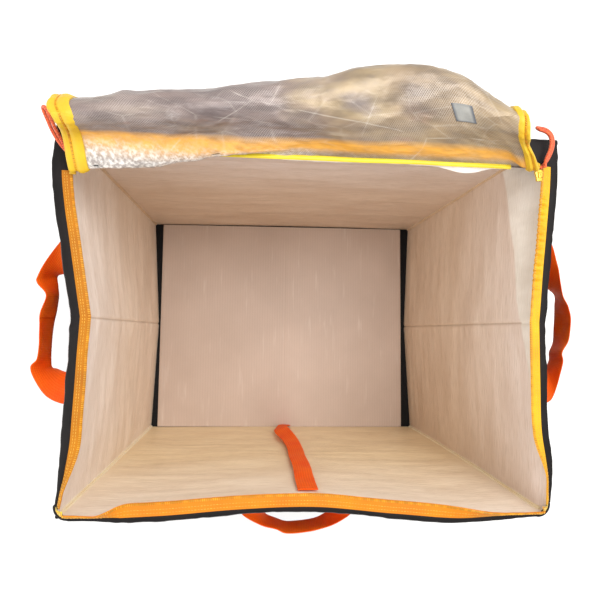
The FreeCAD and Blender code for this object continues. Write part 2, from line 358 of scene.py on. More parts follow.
FILM = film_material("liner_film", (0.80, 0.655, 0.535), (0.84, 0.77, 0.76))
FILM_LEFT_LIT = film_material("liner_film_left_lit", (0.92, 0.80, 0.68), (0.94, 0.87, 0.83), True)
FILM_FRONT_LIT = film_material("liner_film_front_lit", (0.96, 0.80, 0.53), (0.97, 0.87, 0.76))
FILM_RIGHT_SHADED = folded_film("liner_film_right", (0.80, 0.655, 0.52), (0.84, 0.735, 0.67),
                         (0.86, 0.81, 0.73))
FILM_EDGE_LIT = film_material("liner_film_edge_lit", (1.0, 0.98, 0.96), (1.0, 0.98, 0.96))
FOIL = foil_material()
SHELL = woven_material("shell_fabric", (0.011, 0.010, 0.011), (0.005, 0.005, 0.006), 0.0016,
                       0.6, 0.02, 0.6, 0.22)
HEM = woven_material("rim_hem", (0.010, 0.007, 0.007), (0.004, 0.003, 0.003), 0.0013, 0.55, 0.0,
                     0.5, 0.2)
FLOOR = woven_material("floor_cloth", (0.008, 0.008, 0.009), (0.004, 0.004, 0.005), 0.0018, 0.6,
                       0.0, 0.5, 0.2)
STRIP = woven_material("rear_strip", (0.012, 0.010, 0.011), (0.006, 0.005, 0.006), 0.0014, 0.5,
                       0.0, 0.5, 0.2)
# One zip tape: a lit copy for the right wall and darker copies for the left and front walls, painted
# shade
TAPE = woven_material("zip_tape", (0.95, 0.52, 0.015), (0.84, 0.40, 0.01), 0.0011, 0.6,
                      0.0, 0.4, 0.3)
TAPE_SHADED_LEFT = woven_material("zip_tape_left_shaded", (0.58, 0.21, 0.004), (0.46, 0.15, 0.003), 0.0011,
                            0.6, 0.0, 0.4, 0.25)
TAPE_SHADED_FRONT = woven_material("zip_tape_front_shaded", (0.80, 0.26, 0.007), (0.68, 0.20, 0.005), 0.0011,
                             0.6, 0.0, 0.4, 0.25)
TAPE_BRIGHT = woven_material("lid_zip_tape", (0.90, 0.60, 0.015), (0.78, 0.46, 0.01), 0.0011, 0.5,
                             0.05, 0.4)
COIL = woven_material("zip_coil", (0.85, 0.42, 0.02), (0.66, 0.28, 0.01), 0.0011, 0.4, 0.0, 0.3)
BINDING = woven_material("yellow_binding", (0.98, 0.80, 0.02), (0.90, 0.66, 0.01), 0.0010, 0.4,
                         0.3, 0.3)
# One seam binding: the rear corners' copy is darker, painted shade
SEAM = woven_material("seam_binding", (1.0, 0.88, 0.58), (0.98, 0.78, 0.46), 0.0010, 0.6, 0.5)
SEAM_REAR_SHADED = woven_material("rear_seam_binding", (0.80, 0.60, 0.42), (0.68, 0.48, 0.31), 0.0010,
                           0.6, 0.2)
THREAD = woven_material("thread", (0.88, 0.50, 0.05), (0.70, 0.38, 0.03), 0.0005, 0.6)
THREAD_DARK = woven_material("dark_thread", (0.09, 0.085, 0.085), (0.05, 0.05, 0.05), 0.0005, 0.6)
THREAD_ORANGE = woven_material("orange_thread", (0.95, 0.25, 0.04), (0.8, 0.16, 0.02), 0.0005, 0.5)
WEBBING = webbing_material("webbing", (1.0, 0.145, 0.006), (0.95, 0.09, 0.003))
BOARD = board_material()
CORD = cord_material()
METAL = metal_material()
LABEL = label_material()


# ---------------------------------------------------------------- pull cords

def nurbs_cord(name, route, diameter):
    curve = bpy.data.curves.new(name, "CURVE")
    curve.dimensions = "3D"
    spline = curve.splines.new("NURBS")
    spline.points.add(len(route) - 1)
    for point, place in zip(spline.points, route):
        point.co = (*place, 1)
    spline.order_u = 3
    spline.use_endpoint_u = True
    spline.resolution_u = 10
    curve.bevel_depth = diameter / 2
    curve.bevel_resolution = 3
    curve.use_fill_caps = True
    curve.materials.append(CORD)
    cord = bpy.data.objects.new(name, curve)
    bpy.context.scene.collection.objects.link(cord)
    return cord


CORD_DIAMETER = 0.004
LEFT_PULL_ROUTE = (
    (-0.2715, 0.1704, 0.4532), (-0.2785, 0.1787, 0.4536), (-0.2862, 0.1872, 0.4538),
    (-0.2928, 0.1965, 0.4538), (-0.2980, 0.2062, 0.4536), (-0.3020, 0.2155, 0.4534),
    (-0.3055, 0.2228, 0.4538), (-0.3058, 0.2275, 0.4578), (-0.3010, 0.2255, 0.4620),
    (-0.2962, 0.2165, 0.4624), (-0.2918, 0.2068, 0.4620), (-0.2872, 0.1970, 0.4612),
    (-0.2815, 0.1872, 0.4602), (-0.2772, 0.1780, 0.4588), (-0.2764, 0.1710, 0.4566))
RIGHT_PULL_ROUTE = (
    (0.2765, 0.1864, 0.4532), (0.2828, 0.1925, 0.4536), (0.2882, 0.2008, 0.4538),
    (0.2926, 0.2102, 0.4538), (0.2948, 0.2204, 0.4536), (0.2930, 0.2298, 0.4538),
    (0.2856, 0.2362, 0.4540), (0.2758, 0.2372, 0.4542), (0.2694, 0.2358, 0.4585),
    (0.2712, 0.2304, 0.4628), (0.2786, 0.2288, 0.4630), (0.2842, 0.2246, 0.4628),
    (0.2862, 0.2166, 0.4626), (0.2846, 0.2076, 0.4622), (0.2812, 0.1990, 0.4612),
    (0.2790, 0.1922, 0.4594), (0.2806, 0.1866, 0.4568))
for side, route, length in (("left", LEFT_PULL_ROUTE, 0.128), ("right", RIGHT_PULL_ROUTE, 0.126)):
    pull = nurbs_cord(side + "_pull_loop", route, CORD_DIAMETER)
    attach(pull, side + "_slider")
    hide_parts(side + "_pull_cord")


# ---------------------------------------------------------------- mesh helpers

def smooth_line(*points):
    """A smooth curve through (position, value) pairs, as a function of position."""
    at, value = np.array(sorted(points), float).T
    slope = np.gradient(value, at)

    def read(x):
        x = np.clip(x, at[0], at[-1])
        i = np.clip(np.searchsorted(at, x, side="right") - 1, 0, len(at) - 2)
        step = at[i + 1] - at[i]
        t = (x - at[i]) / step
        return ((1 + 2 * t) * (1 - t) ** 2 * value[i] + t * (1 - t) ** 2 * step * slope[i]
                + t * t * (3 - 2 * t) * value[i + 1] + t * t * (t - 1) * step * slope[i + 1])
    return read


def ease(x, low, high):
    t = np.clip((x - low) / (high - low), 0, 1)
    return t * t * (3 - 2 * t)


def soft_noise(u, v, seed):
    """Smooth noise from -1 to 1 with one bump per unit of u and v."""
    lattice = np.random.default_rng(seed).uniform(-1, 1, (64, 64))
    iu, iv = np.floor(u).astype(int), np.floor(v).astype(int)
    fu, fv = u - iu, v - iv
    fu, fv = fu * fu * (3 - 2 * fu), fv * fv * (3 - 2 * fv)
    a, b, c, d = (lattice[(iu + i) % 64, (iv + j) % 64] for j in (0, 1) for i in (0, 1))
    return (a * (1 - fu) + b * fu) * (1 - fv) + (c * (1 - fu) + d * fu) * fv


def ridge_noise(u, v, seed):
    """Sharp creases between soft facets, from 0 to 1."""
    return 1 - np.abs(soft_noise(u, v, seed)) * 1.6


def unit(v):
    return v / np.maximum(np.linalg.norm(v, axis=-1, keepdims=True), 1e-9)


def stack(*parts):
    return np.stack(np.broadcast_arrays(*[np.asarray(p, float) for p in parts]), axis=-1)


def grid(columns, rows):
    return np.meshgrid(np.linspace(0, 1, columns), np.linspace(0, 1, rows))


def read_at(at, n, *tables):
    """Each table of vectors, read at distances at, where its rows lie at distances n."""
    return [np.stack([np.interp(at, n, table[:, i]) for i in range(3)], axis=1)
            for table in tables]


def smooth_path(places, points, at):
    return np.stack([smooth_line(*zip(places, points[:, i]))(at) for i in range(3)], axis=1)


def oval(count, wide, tall):
    """Rings of count points, one for each station of wide."""
    turn = np.linspace(0, 2 * np.pi, count + 1)[:-1]
    return stack(np.cos(turn)[None] * wide[:, None], np.sin(turn)[None] * tall + 0 * wide[:, None])


X, UP = np.array((1.0, 0.0, 0.0)), np.array((0.0, 0.0, 1.0))


class Piece:
    """Collects grids, swept tubes and small studs, and makes one object of them."""

    def __init__(self):
        self.points, self.flats, self.faces, self.kinds = [], [], [], []
        self.count = 0

    def add(self, points, flats):
        """Takes in points with their flat coordinates, and gives back their numbers."""
        numbers = self.count + np.arange(points[..., 0].size).reshape(points.shape[:-1])
        self.points.append(points.reshape(-1, 3))
        self.flats.append(flats.reshape(-1, 2))
        self.count += numbers.size
        return numbers

    def face(self, corners, kind=0):
        self.faces.append(tuple(int(c) for c in corners))
        self.kinds.append(kind)

    def quads(self, index):
        """Faces of a grid of vertex numbers."""
        for row, above in zip(index[:-1], index[1:]):
            for corners in zip(row[:-1], row[1:], above[1:], above[:-1]):
                self.face(corners)

    def slab(self, front, back, *flats):
        """Two matching grids joined round their edge. flats are in millimetres."""
        a, b = (self.add(side, stack(*flats) * MM) for side in (front, back))
        self.quads(a)
        self.quads(b[:, ::-1])
        self.quads(np.stack([np.concatenate((i[0], i[1:, -1], i[-1, -2::-1], i[-2:0:-1, 0],
                                             i[:1, 0])) for i in (b, a)]))

    def tube(self, rings, flats):
        """Closed rings, one per row, joined along the rows."""
        index = self.add(rings, flats)
        self.quads(np.concatenate((index, index[:, :1]), axis=1))
        self.face(index[0][::-1])
        self.face(index[-1])

    def strip(self, path, q_dir, r_dir, profile):
        self.tube(sweep(path, q_dir, r_dir, profile), sweep_flats(path, profile))

    def studs(self, centres, along, across, up, size, kind):
        """Small blocks with narrowed tops, such as zip teeth and stitches."""
        low = [(-1, -1, 0, 1.0), (1, -1, 0, 1.0), (1, 1, 0, 1.0), (-1, 1, 0, 1.0)]
        corners = low + [(i, j, 1, 0.62) for i, j, _, _ in low]
        centres = np.atleast_2d(centres)
        ways = [np.broadcast_to(way, centres.shape) for way in (along, across, up)]
        for centre, a, b, c in zip(centres, *ways):
            block = np.array([centre + a * i * size[0] / 2 * k + b * j * size[1] / 2 * k
                              + c * h * size[2] for i, j, h, k in corners])
            number = self.add(block, np.tile(centre[:2] * MM, (8, 1)))
            for quad in ((3, 2, 1, 0), (4, 5, 6, 7), (0, 1, 5, 4), (1, 2, 6, 5), (2, 3, 7, 6),
                         (3, 0, 4, 7)):
                self.face(number[list(quad)], kind)

    def make(self, name, materials, crease=0.6):
        mesh = bpy.data.meshes.new(name)
        points = np.concatenate(self.points) * MM
        mesh.from_pydata(points.tolist(), [], self.faces)
        for material in materials:
            mesh.materials.append(material)
        mesh.polygons.foreach_set("material_index", self.kinds)
        layer = mesh.uv_layers.new(name="flat")
        loops = np.empty(len(mesh.loops), int)
        mesh.loops.foreach_get("vertex_index", loops)
        layer.data.foreach_set("uv", np.concatenate(self.flats)[loops].ravel())
        work = bmesh.new()
        work.from_mesh(mesh)
        bmesh.ops.recalc_face_normals(work, faces=work.faces)
        work.to_mesh(mesh)
        work.free()
        mesh.shade_smooth()
        mesh.set_sharp_from_angle(angle=crease)
        made = bpy.data.objects.new(name, mesh)
        bpy.context.scene.collection.objects.link(made)
        return made


def slab_piece(name, material, front, back, *flats, crease=0.6):
    piece = Piece()
    piece.slab(front, back, *flats)
    return piece.make(name, [material], crease)


def per_station(profile, count):
    """A profile of (q, r) pairs, repeated for each station unless it has one for each."""
    profile = np.array(profile, float)
    return profile if profile.ndim == 3 else np.tile(profile, (count, 1, 1))


def sweep(path, q_dir, r_dir, profile):
    """Rings of a profile along a path."""
    profile = per_station(profile, len(path))
    q_dir, r_dir = (np.broadcast_to(way, path.shape)[:, None] for way in (q_dir, r_dir))
    return path[:, None] + q_dir * profile[..., :1] + r_dir * profile[..., 1:]


def lengths(path):
    steps = np.linalg.norm(np.diff(path, axis=0), axis=1)
    return np.concatenate(([0.0], np.cumsum(steps)))


def sweep_flats(path, profile):
    profile = per_station(profile, len(path))
    return stack(lengths(path)[:, None], profile[..., 0] + profile[..., 1]) * MM


def settle(piece, slot, nodes=(), body=None, blend=None):
    """Attaches a finished piece to the body it rides on and hides the CAD parts it stands for; a
    blended piece is only baked in place, and slot is not used.
    """
    if body:
        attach(piece, body)
    if nodes:
        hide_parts(*nodes)
    if blend:
        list(blend)
        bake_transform(piece)
    return piece


# ---------------------------------------------------------------- the walls' shape

CREASE_Y = -3.05
REAR_Y = 212.0
FRONT_Y = -212.1
WALL = 8.0
BASE_Z = 3.0
HEM_Z = 439.5
RIM_Z = 449.6
FILM_TOP = 449.3


class Side:
    """Inner face of a side wall: t is 1 at the rear corner, 0 at the crease, -1 in front."""

    def __init__(self, sign, base, lean, rim_rear, rim_front, fold, power):
        self.sign, self.power = sign, power
        self.base, self.lean = base, lean
        self.rim_rear, self.rim_front = smooth_line(*rim_rear), smooth_line(*rim_front)
        self.fold = smooth_line(*fold)
        self.name = "left" if sign < 0 else "right"

    def between(self, t, values):
        rear, crease, front = values
        return np.where(t > 0, crease + (rear - crease) * t, crease - (front - crease) * t)

    def reach(self, t, z):
        """Distance of the inner face from the middle plane."""
        y = CREASE_Y + np.where(t > 0, t * (REAR_Y - CREASE_Y), t * (CREASE_Y - FRONT_Y))
        rim = np.where(t > 0, self.rim_rear(y), self.rim_front(y))
        base, lean = self.between(t, self.base), self.between(t, self.lean)
        fold = self.fold(y)
        flare = np.clip((z - fold) / (RIM_Z - fold), 0, 1) ** self.power
        return base + lean * z / RIM_Z + (rim - base - lean) * flare

    def point(self, t, z, n=0.0):
        """A point at height z, n outside the inner face."""
        x = self.sign * (self.reach(t, z) + n)
        rear = back_y(self.sign * self.reach(1.0, z), z)
        front = front_y(self.sign * self.reach(-1.0, z), z)
        y = CREASE_Y + np.where(t > 0, t * (rear - CREASE_Y), t * (CREASE_Y - front))
        return stack(x, y, z)


LIFTED_BOARD_Y = 214.5       # the back wall's cloth passes behind the board when that is lifted
BACK_RIM = smooth_line((-300, 204), (-200, 209), (0, 212), (200, 215), (300, 217))
BACK_BASE = smooth_line((-300, 203), (0, 208), (300, 210))
FRONT_RIM = smooth_line((-290, -214), (-265, -214.5), (-227, -215), (-163, -214), (-82, -209.5),
                        (0, -209), (94, -219), (173, -226), (230, -225), (290, -225))
FRONT_BASE = smooth_line((-300, -211), (0, -213), (300, -217))


def back_y(x, z):
    return BACK_BASE(x) + (BACK_RIM(x) - BACK_BASE(x)) * (z / RIM_Z) ** 2


def front_y(x, z):
    return FRONT_BASE(x) + (FRONT_RIM(x) - FRONT_BASE(x)) * (z / RIM_Z) ** 2.5


LEFT = Side(-1, (277, 264, 273), (3, -3, -3),
            ((-3.05, 260.4), (30, 266), (79, 275), (126, 283), (167, 287.5), (206, 285), (213, 284)),
            ((-213, 273.5), (-204, 272.5), (-172, 267.5), (-114, 264.4), (-72, 263), (-3.05, 260.4)),
            ((-213, 60), (213, 60)), 1.7)
RIGHT = Side(1, (263, 253, 265), (14, 14, 6),
             ((-3.05, 273), (50, 279), (111, 287), (183, 294), (206, 294.5), (213, 294)),
             ((-213, 275), (-168, 277), (-119, 272.5), (-72, 272.5), (-3.05, 273)),
             ((213, 369), (94, 398), (28, 403), (-3, 414), (-93, 424), (-213, 432)), 1.15)

PIVOT_SPAN = 9.0


def crease_blend(side):
    x = side.sign * 0.2654
    return (side.name + "_rear_wall", side.name + "_front_wall",
            (x, (CREASE_Y + PIVOT_SPAN) * MM, 0.2), (x, (CREASE_Y - PIVOT_SPAN) * MM, 0.2))


def crease_stations():
    """Places along a side wall, close together at the crease, from rear to front."""
    near = np.array([0.045, 0.032, 0.022, 0.014, 0.008, 0.004, 0.0])
    rear = np.concatenate((np.linspace(1, 0.06, 44), near))
    return np.concatenate((rear, -rear[-2::-1]))


def ripple(along, z, seed):
    """How far a film wall stands out of its plane, in and out."""
    broad = 1.5 * soft_noise(along / 95, z / 62, seed) + 0.9 * soft_noise(
        along / 60, z / 30, seed + 1)
    fine = 0.55 * soft_noise(along / 85, z / 11, seed + 2) + 0.3 * soft_noise(along / 50, z / 6.5,
                                                                             seed + 3)
    return broad + fine


def wall_heights(rows, top=439.5):
    return BASE_Z + (top - BASE_Z) * np.linspace(0, 1, rows)


def slot_nodes(side, ending):
    return [f"{side.name}_{half}_{ending}" for half in ("rear", "front")]


def side_wall(side):
    t, z = np.meshgrid(crease_stations(), wall_heights(114, FILM_TOP))
    along = -t * 212
    hold = ease(1 - np.abs(t), 0, 0.07) * ease(z, BASE_Z, 30) * ease(FILM_TOP - z, 6, 26)
    wave = ripple(along, z, 11 if side.sign < 0 else 31) * hold
    line = np.exp(-(along / 2.2) ** 2)
    pucker = 0.5 * np.exp(-(along / 26) ** 2) * soft_noise(along / 14, z / 9, 5) * hold
    groove = 1.6 * line * ease(FILM_TOP - z, 0, 14)
    face = side.point(t, z, wave + pucker + groove)
    rear_face = side.point(t, z, wave + pucker + groove + 1.2)
    liner = slab_piece(side.name + "_liner_film", FILM_LEFT_LIT if side.sign < 0 else FILM_RIGHT_SHADED,
                       face, rear_face, along, z)
    settle(liner, "liner_film", slot_nodes(side, "liner") + slot_nodes(side, "foam"),
           blend=crease_blend(side))

    t, z = np.meshgrid(crease_stations(), wall_heights(64))
    along = -t * 212
    bulge = (1.2 * soft_noise(along / 70, z / 55, 51) + 0.5 * soft_noise(along / 22, z / 26, 52))
    seam = ease(np.abs(along), 0, 5)
    inside = side.point(t, z, 4.6 - 3.4 * ease(-t, 0.95, 1) * ease(z, 360, 436))
    outside = side.point(t, z, WALL - 1.2 + 1.6 * seam + (bulge - 0.4) * seam * (1 - 0.6 * ease(
        np.abs(t), 0.9, 1)) - (2.6 * ease(-t, 0.72, 0.95) + 3.4 * ease(-t, 0.95, 1)) * ease(
            z, 360, 436))
    shell = slab_piece(side.name + "_shell_fabric", SHELL, outside, inside, along, z)
    settle(shell, "shell_fabric", slot_nodes(side, "shell"), blend=crease_blend(side))


HEM_PROFILE = [(1.3, 446.8), (1.2, 448.8), (1.7, 450.1), (3.2, 450.8), (5.4, 450.9), (7.9, 450.0),
               (9.4, 447.6), (9.9, 444), (9.9, 438.2), (9.0, 436.9), (8.2, 438.2), (8.2, 444),
               (6.6, 447.4), (4.0, 448.2), (2.4, 447.6)]


def hem_shape(path, seed, slim, wide):
    """The rolled hem over a wall's top edge. path is the inner face at the rim."""
    n = lengths(path)
    profile = per_station(HEM_PROFILE, len(path))
    swell = 1 + 0.10 * soft_noise(n / 26, 0 * n, seed) + 0.05 * soft_noise(n / 7, 0 * n, seed + 1)
    middle = np.array((2.0, 446))
    profile = middle + (profile - middle) * swell[:, None, None]
    profile[..., 0] = 1.2 + (profile[..., 0] - 1.2) * np.reshape(slim, (-1, 1))
    inner = np.clip((6 - profile[..., 0]) / 5, 0, 1)
    profile[..., 0] -= inner * np.reshape(wide, (-1, 1))
    ground = path.copy()
    ground[:, 2] = 0
    return profile, ground


def make_hem(name, path, out, seed, nodes, slim=1.0, wide=0.0, **where):
    slim = slim * np.ones(len(path))
    profile, ground = hem_shape(path, seed, slim, wide + 0 * slim)
    hem = Piece()
    hem.strip(ground, out, UP, profile)
    n = lengths(path)
    at = np.arange(3, n[-1] - 2, 3.6)
    spots, outs = read_at(at, n, ground, out)
    outs = unit(outs)
    reach = 1.2 + 8.4 * np.interp(at, n, slim)[:, None]
    hem.studs(spots + outs * reach + UP * 440.4, np.cross(outs, UP), UP, outs, (2.4, 0.6, 0.5), 1)
    settle(hem.make(name, [HEM, THREAD_DARK]), "rim_hem", nodes, **where)


TAPE_PROFILE = [(-1.5, 0.0), (2.5, 0.15), (6, 0.25), (9.5, 0.05), (12.2, 0.0), (12.8, 0.5),
                (12.3, 1.1), (9.5, 1.2), (6, 1.5), (2.5, 1.35), (-1.5, 1.2)]


def tape_frames(path, inward, angle, droop):
    """Ribbon axes: across the tape and up from its face, turned up by angle at each station."""
    turn = angle + droop
    across = inward * np.cos(turn)[:, None] + UP * np.sin(turn)[:, None]
    face = -inward * np.sin(turn)[:, None] + UP * np.cos(turn)[:, None]
    return across, face


def make_tape(name, path, inward, angle, seed, nodes, gather=0.0, cloth=TAPE, narrow=1.0, **where):
    """Half of a zip: a ribbon from the rim inwards, with its coil and two rows of stitches."""
    n = lengths(path)
    droop = -0.12 + 0.10 * soft_noise(n / 34, 0 * n, seed)
    across, face = tape_frames(path, inward, angle, droop)
    profile = per_station(TAPE_PROFILE, len(n))
    wave = 0.45 * soft_noise(n / 15, 0 * n, seed + 1) + 0.2 * soft_noise(n / 5, 0 * n, seed + 2)
    folds = np.sin(n * 2 * np.pi / 6.3 + 0.8 * soft_noise(n / 20, 0 * n, 3))
    wave = wave + gather * 2.0 * folds
    lift = np.interp(profile[..., 0], (0, 5, 9.5, 12), (0.0, 1.0, 0.5, 0.7))
    profile[..., 1] += wave[:, None] * lift
    profile[..., 0] *= narrow
    tape = Piece()
    tape.strip(path, across, face, profile)
    middle = path + face * wave[:, None] * 0.5

    def row(q, r, pitch, size, kind):
        at = np.arange(pitch, n[-1] - pitch / 2, pitch)
        centre, side_way, high = read_at(at, n, middle, across, face)
        side_way, high = unit(side_way), unit(high)
        tape.studs(centre + side_way * q + high * r, np.cross(side_way, high), side_way, high,
                   size, kind)
    row(10.9 * narrow, 1.0, 2.0, (1.35, 2.9, 1.15), 1)
    row(5.2 * narrow, 1.35, 3.4, (2.3, 0.55, 0.45), 2)
    row(1.6, 1.2, 3.4, (2.3, 0.55, 0.45), 2)
    settle(tape.make(name, [cloth, COIL, THREAD]), "zip_tape", nodes, **where)


def outward(path, sign):
    """Horizontal direction square to a path."""
    step = np.gradient(path, axis=0)
    step[:, 2] = 0
    step = unit(step)
    return stack(-step[:, 1], step[:, 0], 0 * step[:, 0]) * sign


FRONT_END = -0.952       # t where a side wall's hem and tape give way to the corner's


def side_rim_pieces(side):
    dense = np.concatenate((np.linspace(1.035, 0.09, 90), np.linspace(0.085, 0, 12)))
    t = np.concatenate((dense, -dense[-2::-1]))
    path = side.point(np.clip(t, -1, 1), np.full_like(t, RIM_Z))
    path[:, 1] += (t - np.clip(t, -1, 1)) * 215
    out = outward(path, 1)
    out *= np.sign(out[:, :1]) * side.sign
    keep = t > FRONT_END
    make_hem(side.name + "_rim_hem", path[keep], out[keep], 61 + side.sign,
             slot_nodes(side, "rim_hem"), 1 - 0.4 * ease(-t[keep], 0.72, 0.95),
             (3.6 + ease(t[keep], 0.1, 0.5)) * (1 - ease(-t[keep], 0.6, 0.9)),
             blend=crease_blend(side))
    left = side.sign < 0
    rear_end, overlap = (0.79 if left else 0.885), 0.01
    bare = t > rear_end - overlap
    cover = Piece()
    cover_path = path[bare] + (0, 0, 0.2)
    across, face = tape_frames(cover_path, -out[bare], 0.0, -0.1 * np.ones(bare.sum()))
    cover.strip(cover_path, across, face, TAPE_PROFILE)
    settle(cover.make(side.name + "_rim_end_cover", [HEM]), "rim_hem", (), side.name + "_rear_wall")
    keep = (t < rear_end) & (t > FRONT_END)
    rim = path[keep] + out[keep] * (1.0 - (3.4 + ease(t[keep], 0.1, 0.5)) * (
        1 - ease(-t[keep], 0.6, 0.9)))[:, None]
    rim[:, 2] = RIM_Z + 0.4
    y = rim[:, 1]
    turned = 1.20 * ease(-y, 128, 192) if left else 0.99 * ease(-y, 112, 184)
    gather = 0.0 if left else ease(y, 26, 50) * ease(-y, -165, -140)
    # the left wall's tape takes the darker copy: painted shade
    make_tape(side.name + "_zip_tape", rim, -out[keep], turned, 71 + side.sign,
              slot_nodes(side, "zip_tape"), gather, TAPE_SHADED_LEFT if left else TAPE, 0.78,
              blend=crease_blend(side))


def across_grid(columns, rows, top):
    return np.meshgrid(np.linspace(0, 1, columns), wall_heights(rows, top))


def cross_wall(name, face_y, sign, seed, body):
    """The back (sign 1) or front (sign -1) wall."""
    u, z = across_grid(130, 114, FILM_TOP)
    left, right = -LEFT.reach(float(sign), z), RIGHT.reach(float(sign), z)
    x = left + (right - left) * u
    hold = ease(np.minimum(u, 1 - u), 0, 0.05) * ease(z, BASE_Z, 30) * ease(FILM_TOP - z, 6, 26)
    wave = ripple(x, z, seed) * hold
    y = face_y(x, z)
    liner = slab_piece(name + "_liner_film", FILM if sign > 0 else FILM_FRONT_LIT,
                       stack(x, y + sign * wave, z), stack(x, y + sign * (wave + 1.2), z), x, z)
    settle(liner, "liner_film", [name + "_liner", name + "_foam"], body)
    u, z = across_grid(96, 64, HEM_Z)
    x = (-LEFT.reach(float(sign), z) - WALL) * (1 - u) + (RIGHT.reach(float(sign), z) + WALL) * u
    bulge = 1.2 * soft_noise(x / 75, z / 55, seed + 7) + 0.5 * soft_noise(x / 24, z / 26, seed + 8)
    y = face_y(x, z)
    slimmer = (sign < 0) * ease(z, 360, 436) * 3.4 * (1 - ease(np.minimum(u, 1 - u), 0, 0.02))
    x = x - slimmer * np.sign(u - 0.5)
    outside = y + sign * (WALL - 0.6 + bulge - slimmer)
    if sign > 0:
        outside = np.maximum(outside, LIFTED_BOARD_Y + 0.4 * bulge)
    shell = slab_piece(name + "_shell_fabric", SHELL, stack(x, outside, z),
                       stack(x, y + sign * (4.7 - slimmer), z), x, z)
    settle(shell, "shell_fabric", [name + "_shell"], body)


def cross_rim(name, face_y, sign, body):
    low = -LEFT.reach(float(sign), RIM_Z) - WALL - 0.5
    high = RIGHT.reach(float(sign), RIM_Z) + WALL + 0.5
    x = np.linspace(low, high, 210)
    path = stack(x, face_y(x, RIM_Z + 0 * x), RIM_Z + 0 * x)
    end = np.minimum(x - low, high - x)
    out = outward(path, 1)
    out *= np.sign(out[:, 1:2]) * sign
    slim = 1 - 0.4 * (1 - ease(end, 22, 90)) * (sign < 0)
    keep = (end > WALL + 10) | (sign > 0)
    make_hem(name + "_rim_hem_roll", path[keep], out[keep], 81 + sign,
             [name + "_rim_hem"], slim[keep], body=body)
    if sign < 0:
        keep = (x > low + WALL + 8) & (x < high - WALL - 8)
        rim = path[keep] + out[keep] * 1.0
        rim[:, 2] += 0.4
        at = x[keep]
        turned = 1.22 * (1 - ease(at, -234, -196)) + 1.21 * ease(at, 118, 226)
        # the front tape takes the darker copy: painted shade
        make_tape("front_zip_tape_half", rim, -out[keep], turned, 91, ["front_zip_tape"],
                  cloth=TAPE_SHADED_FRONT, body=body)


def corner_tapes():
    """The zip half that stands up and rounds each front corner."""
    for side, blend in ((LEFT, ("left_front_wall", "front_wall")), (RIGHT, None)):
        s = side.sign
        reach, y0 = side.reach(-1.0, RIM_Z), front_y(s * side.reach(-1.0, RIM_Z), RIM_Z)
        a = np.linspace(0, 1, 40)
        radius = 11.0
        turn = a * np.pi / 2
        x = s * (reach - radius + radius * np.cos(turn) + 1.2)
        y = y0 + radius - radius * np.sin(turn) - 1.2
        path = stack(x, y, RIM_Z + 0.4 + 0 * a)
        inward = -stack(s * np.cos(turn), -np.sin(turn), 0 * a)
        where = {"body": "front_wall"}
        if blend:
            where = {"blend": (*blend, (s * 0.272, -0.190, 0.45), (s * 0.262, -0.2121, 0.45))}
        lean = smooth_line(*(((0, 1.20), (0.5, 0.90), (1, 1.22)) if s < 0 else
                             ((0, 0.99), (0.5, 0.65), (1, 1.21))))
        # the upturned corner tape takes the brighter binding cloth: a painted highlight on its edge
        make_tape(side.name + "_corner_zip_tape", path, inward, lean(a), 96, (), cloth=BINDING,
                  **where)
        make_hem(side.name + "_corner_rim_hem", path + inward * 1.2 - (0, 0, 0.4), -inward,
                 63 + s, (), 0.6, **where)


def corner_seams():
    """Bound seams down the four inside corners, and piping down the outside."""
    z = np.linspace(BASE_Z + 1, HEM_Z + 3, 90)
    for row, body, t in (("rear", "root", 1.0), ("front", "front_wall", -1.0)):
        seams, piping = Piece(), Piece()
        for side in (LEFT, RIGHT):
            corner = side.point(t, z)
            into = unit(np.array((-side.sign * 1.0, -t, 0.0)))
            across = np.array((-into[1], into[0], 0.0))
            sway = 0.7 * soft_noise(z / 60, 0 * z, 101)
            path = corner + into * 1.1 + across * sway[:, None]
            wide = 3.3 + 0.5 * soft_noise(z / 13, 0 * z, 103)
            seams.strip(path, across, into, oval(12, wide, 1.7))
            at = np.arange(12, HEM_Z - 4, 4.0)
            spots = read_at(at, z, path)[0] + into * 1.5
            seams.studs(spots, UP, across, into, (2.4, 0.5, 0.5), 1)
            edge = corner - into * WALL * (1.38 - (t < 0) * 0.75 * ease(z, 360, 430))[:, None]
            piping.strip(edge, across, into, oval(12, 2.2 + 0 * z, 2.2))
        # the rear corners take the darker binding: painted shade
        cloth = SEAM_REAR_SHADED if row == "rear" else SEAM
        settle(seams.make(row + "_corner_binding", [cloth, THREAD]), "seam_binding",
               [row + "_corner_seams"], body)
        settle(piping.make(row + "_corner_piping", [HEM]), "rim_hem", (), body)


# ---------------------------------------------------------------- floor, board and strap

def make_floor():
    u, v = grid(70, 60)
    x, y = -280.5 + 555.5 * u, -219 + 437 * v
    puff = 0.5 * soft_noise(x / 40, y / 40, 121)
    edge = ease(np.minimum(np.minimum(u, 1 - u) * 560, np.minimum(v, 1 - v) * 440), 0, 9)
    floor = slab_piece("floor_cloth_base", FLOOR, stack(x, y, 1.6 + (0.9 + puff * 0.4) * edge),
                       stack(x, y, 0.15), x, y)
    settle(floor, "floor_cloth", ["floor_cloth"], "root")
    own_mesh(floor)


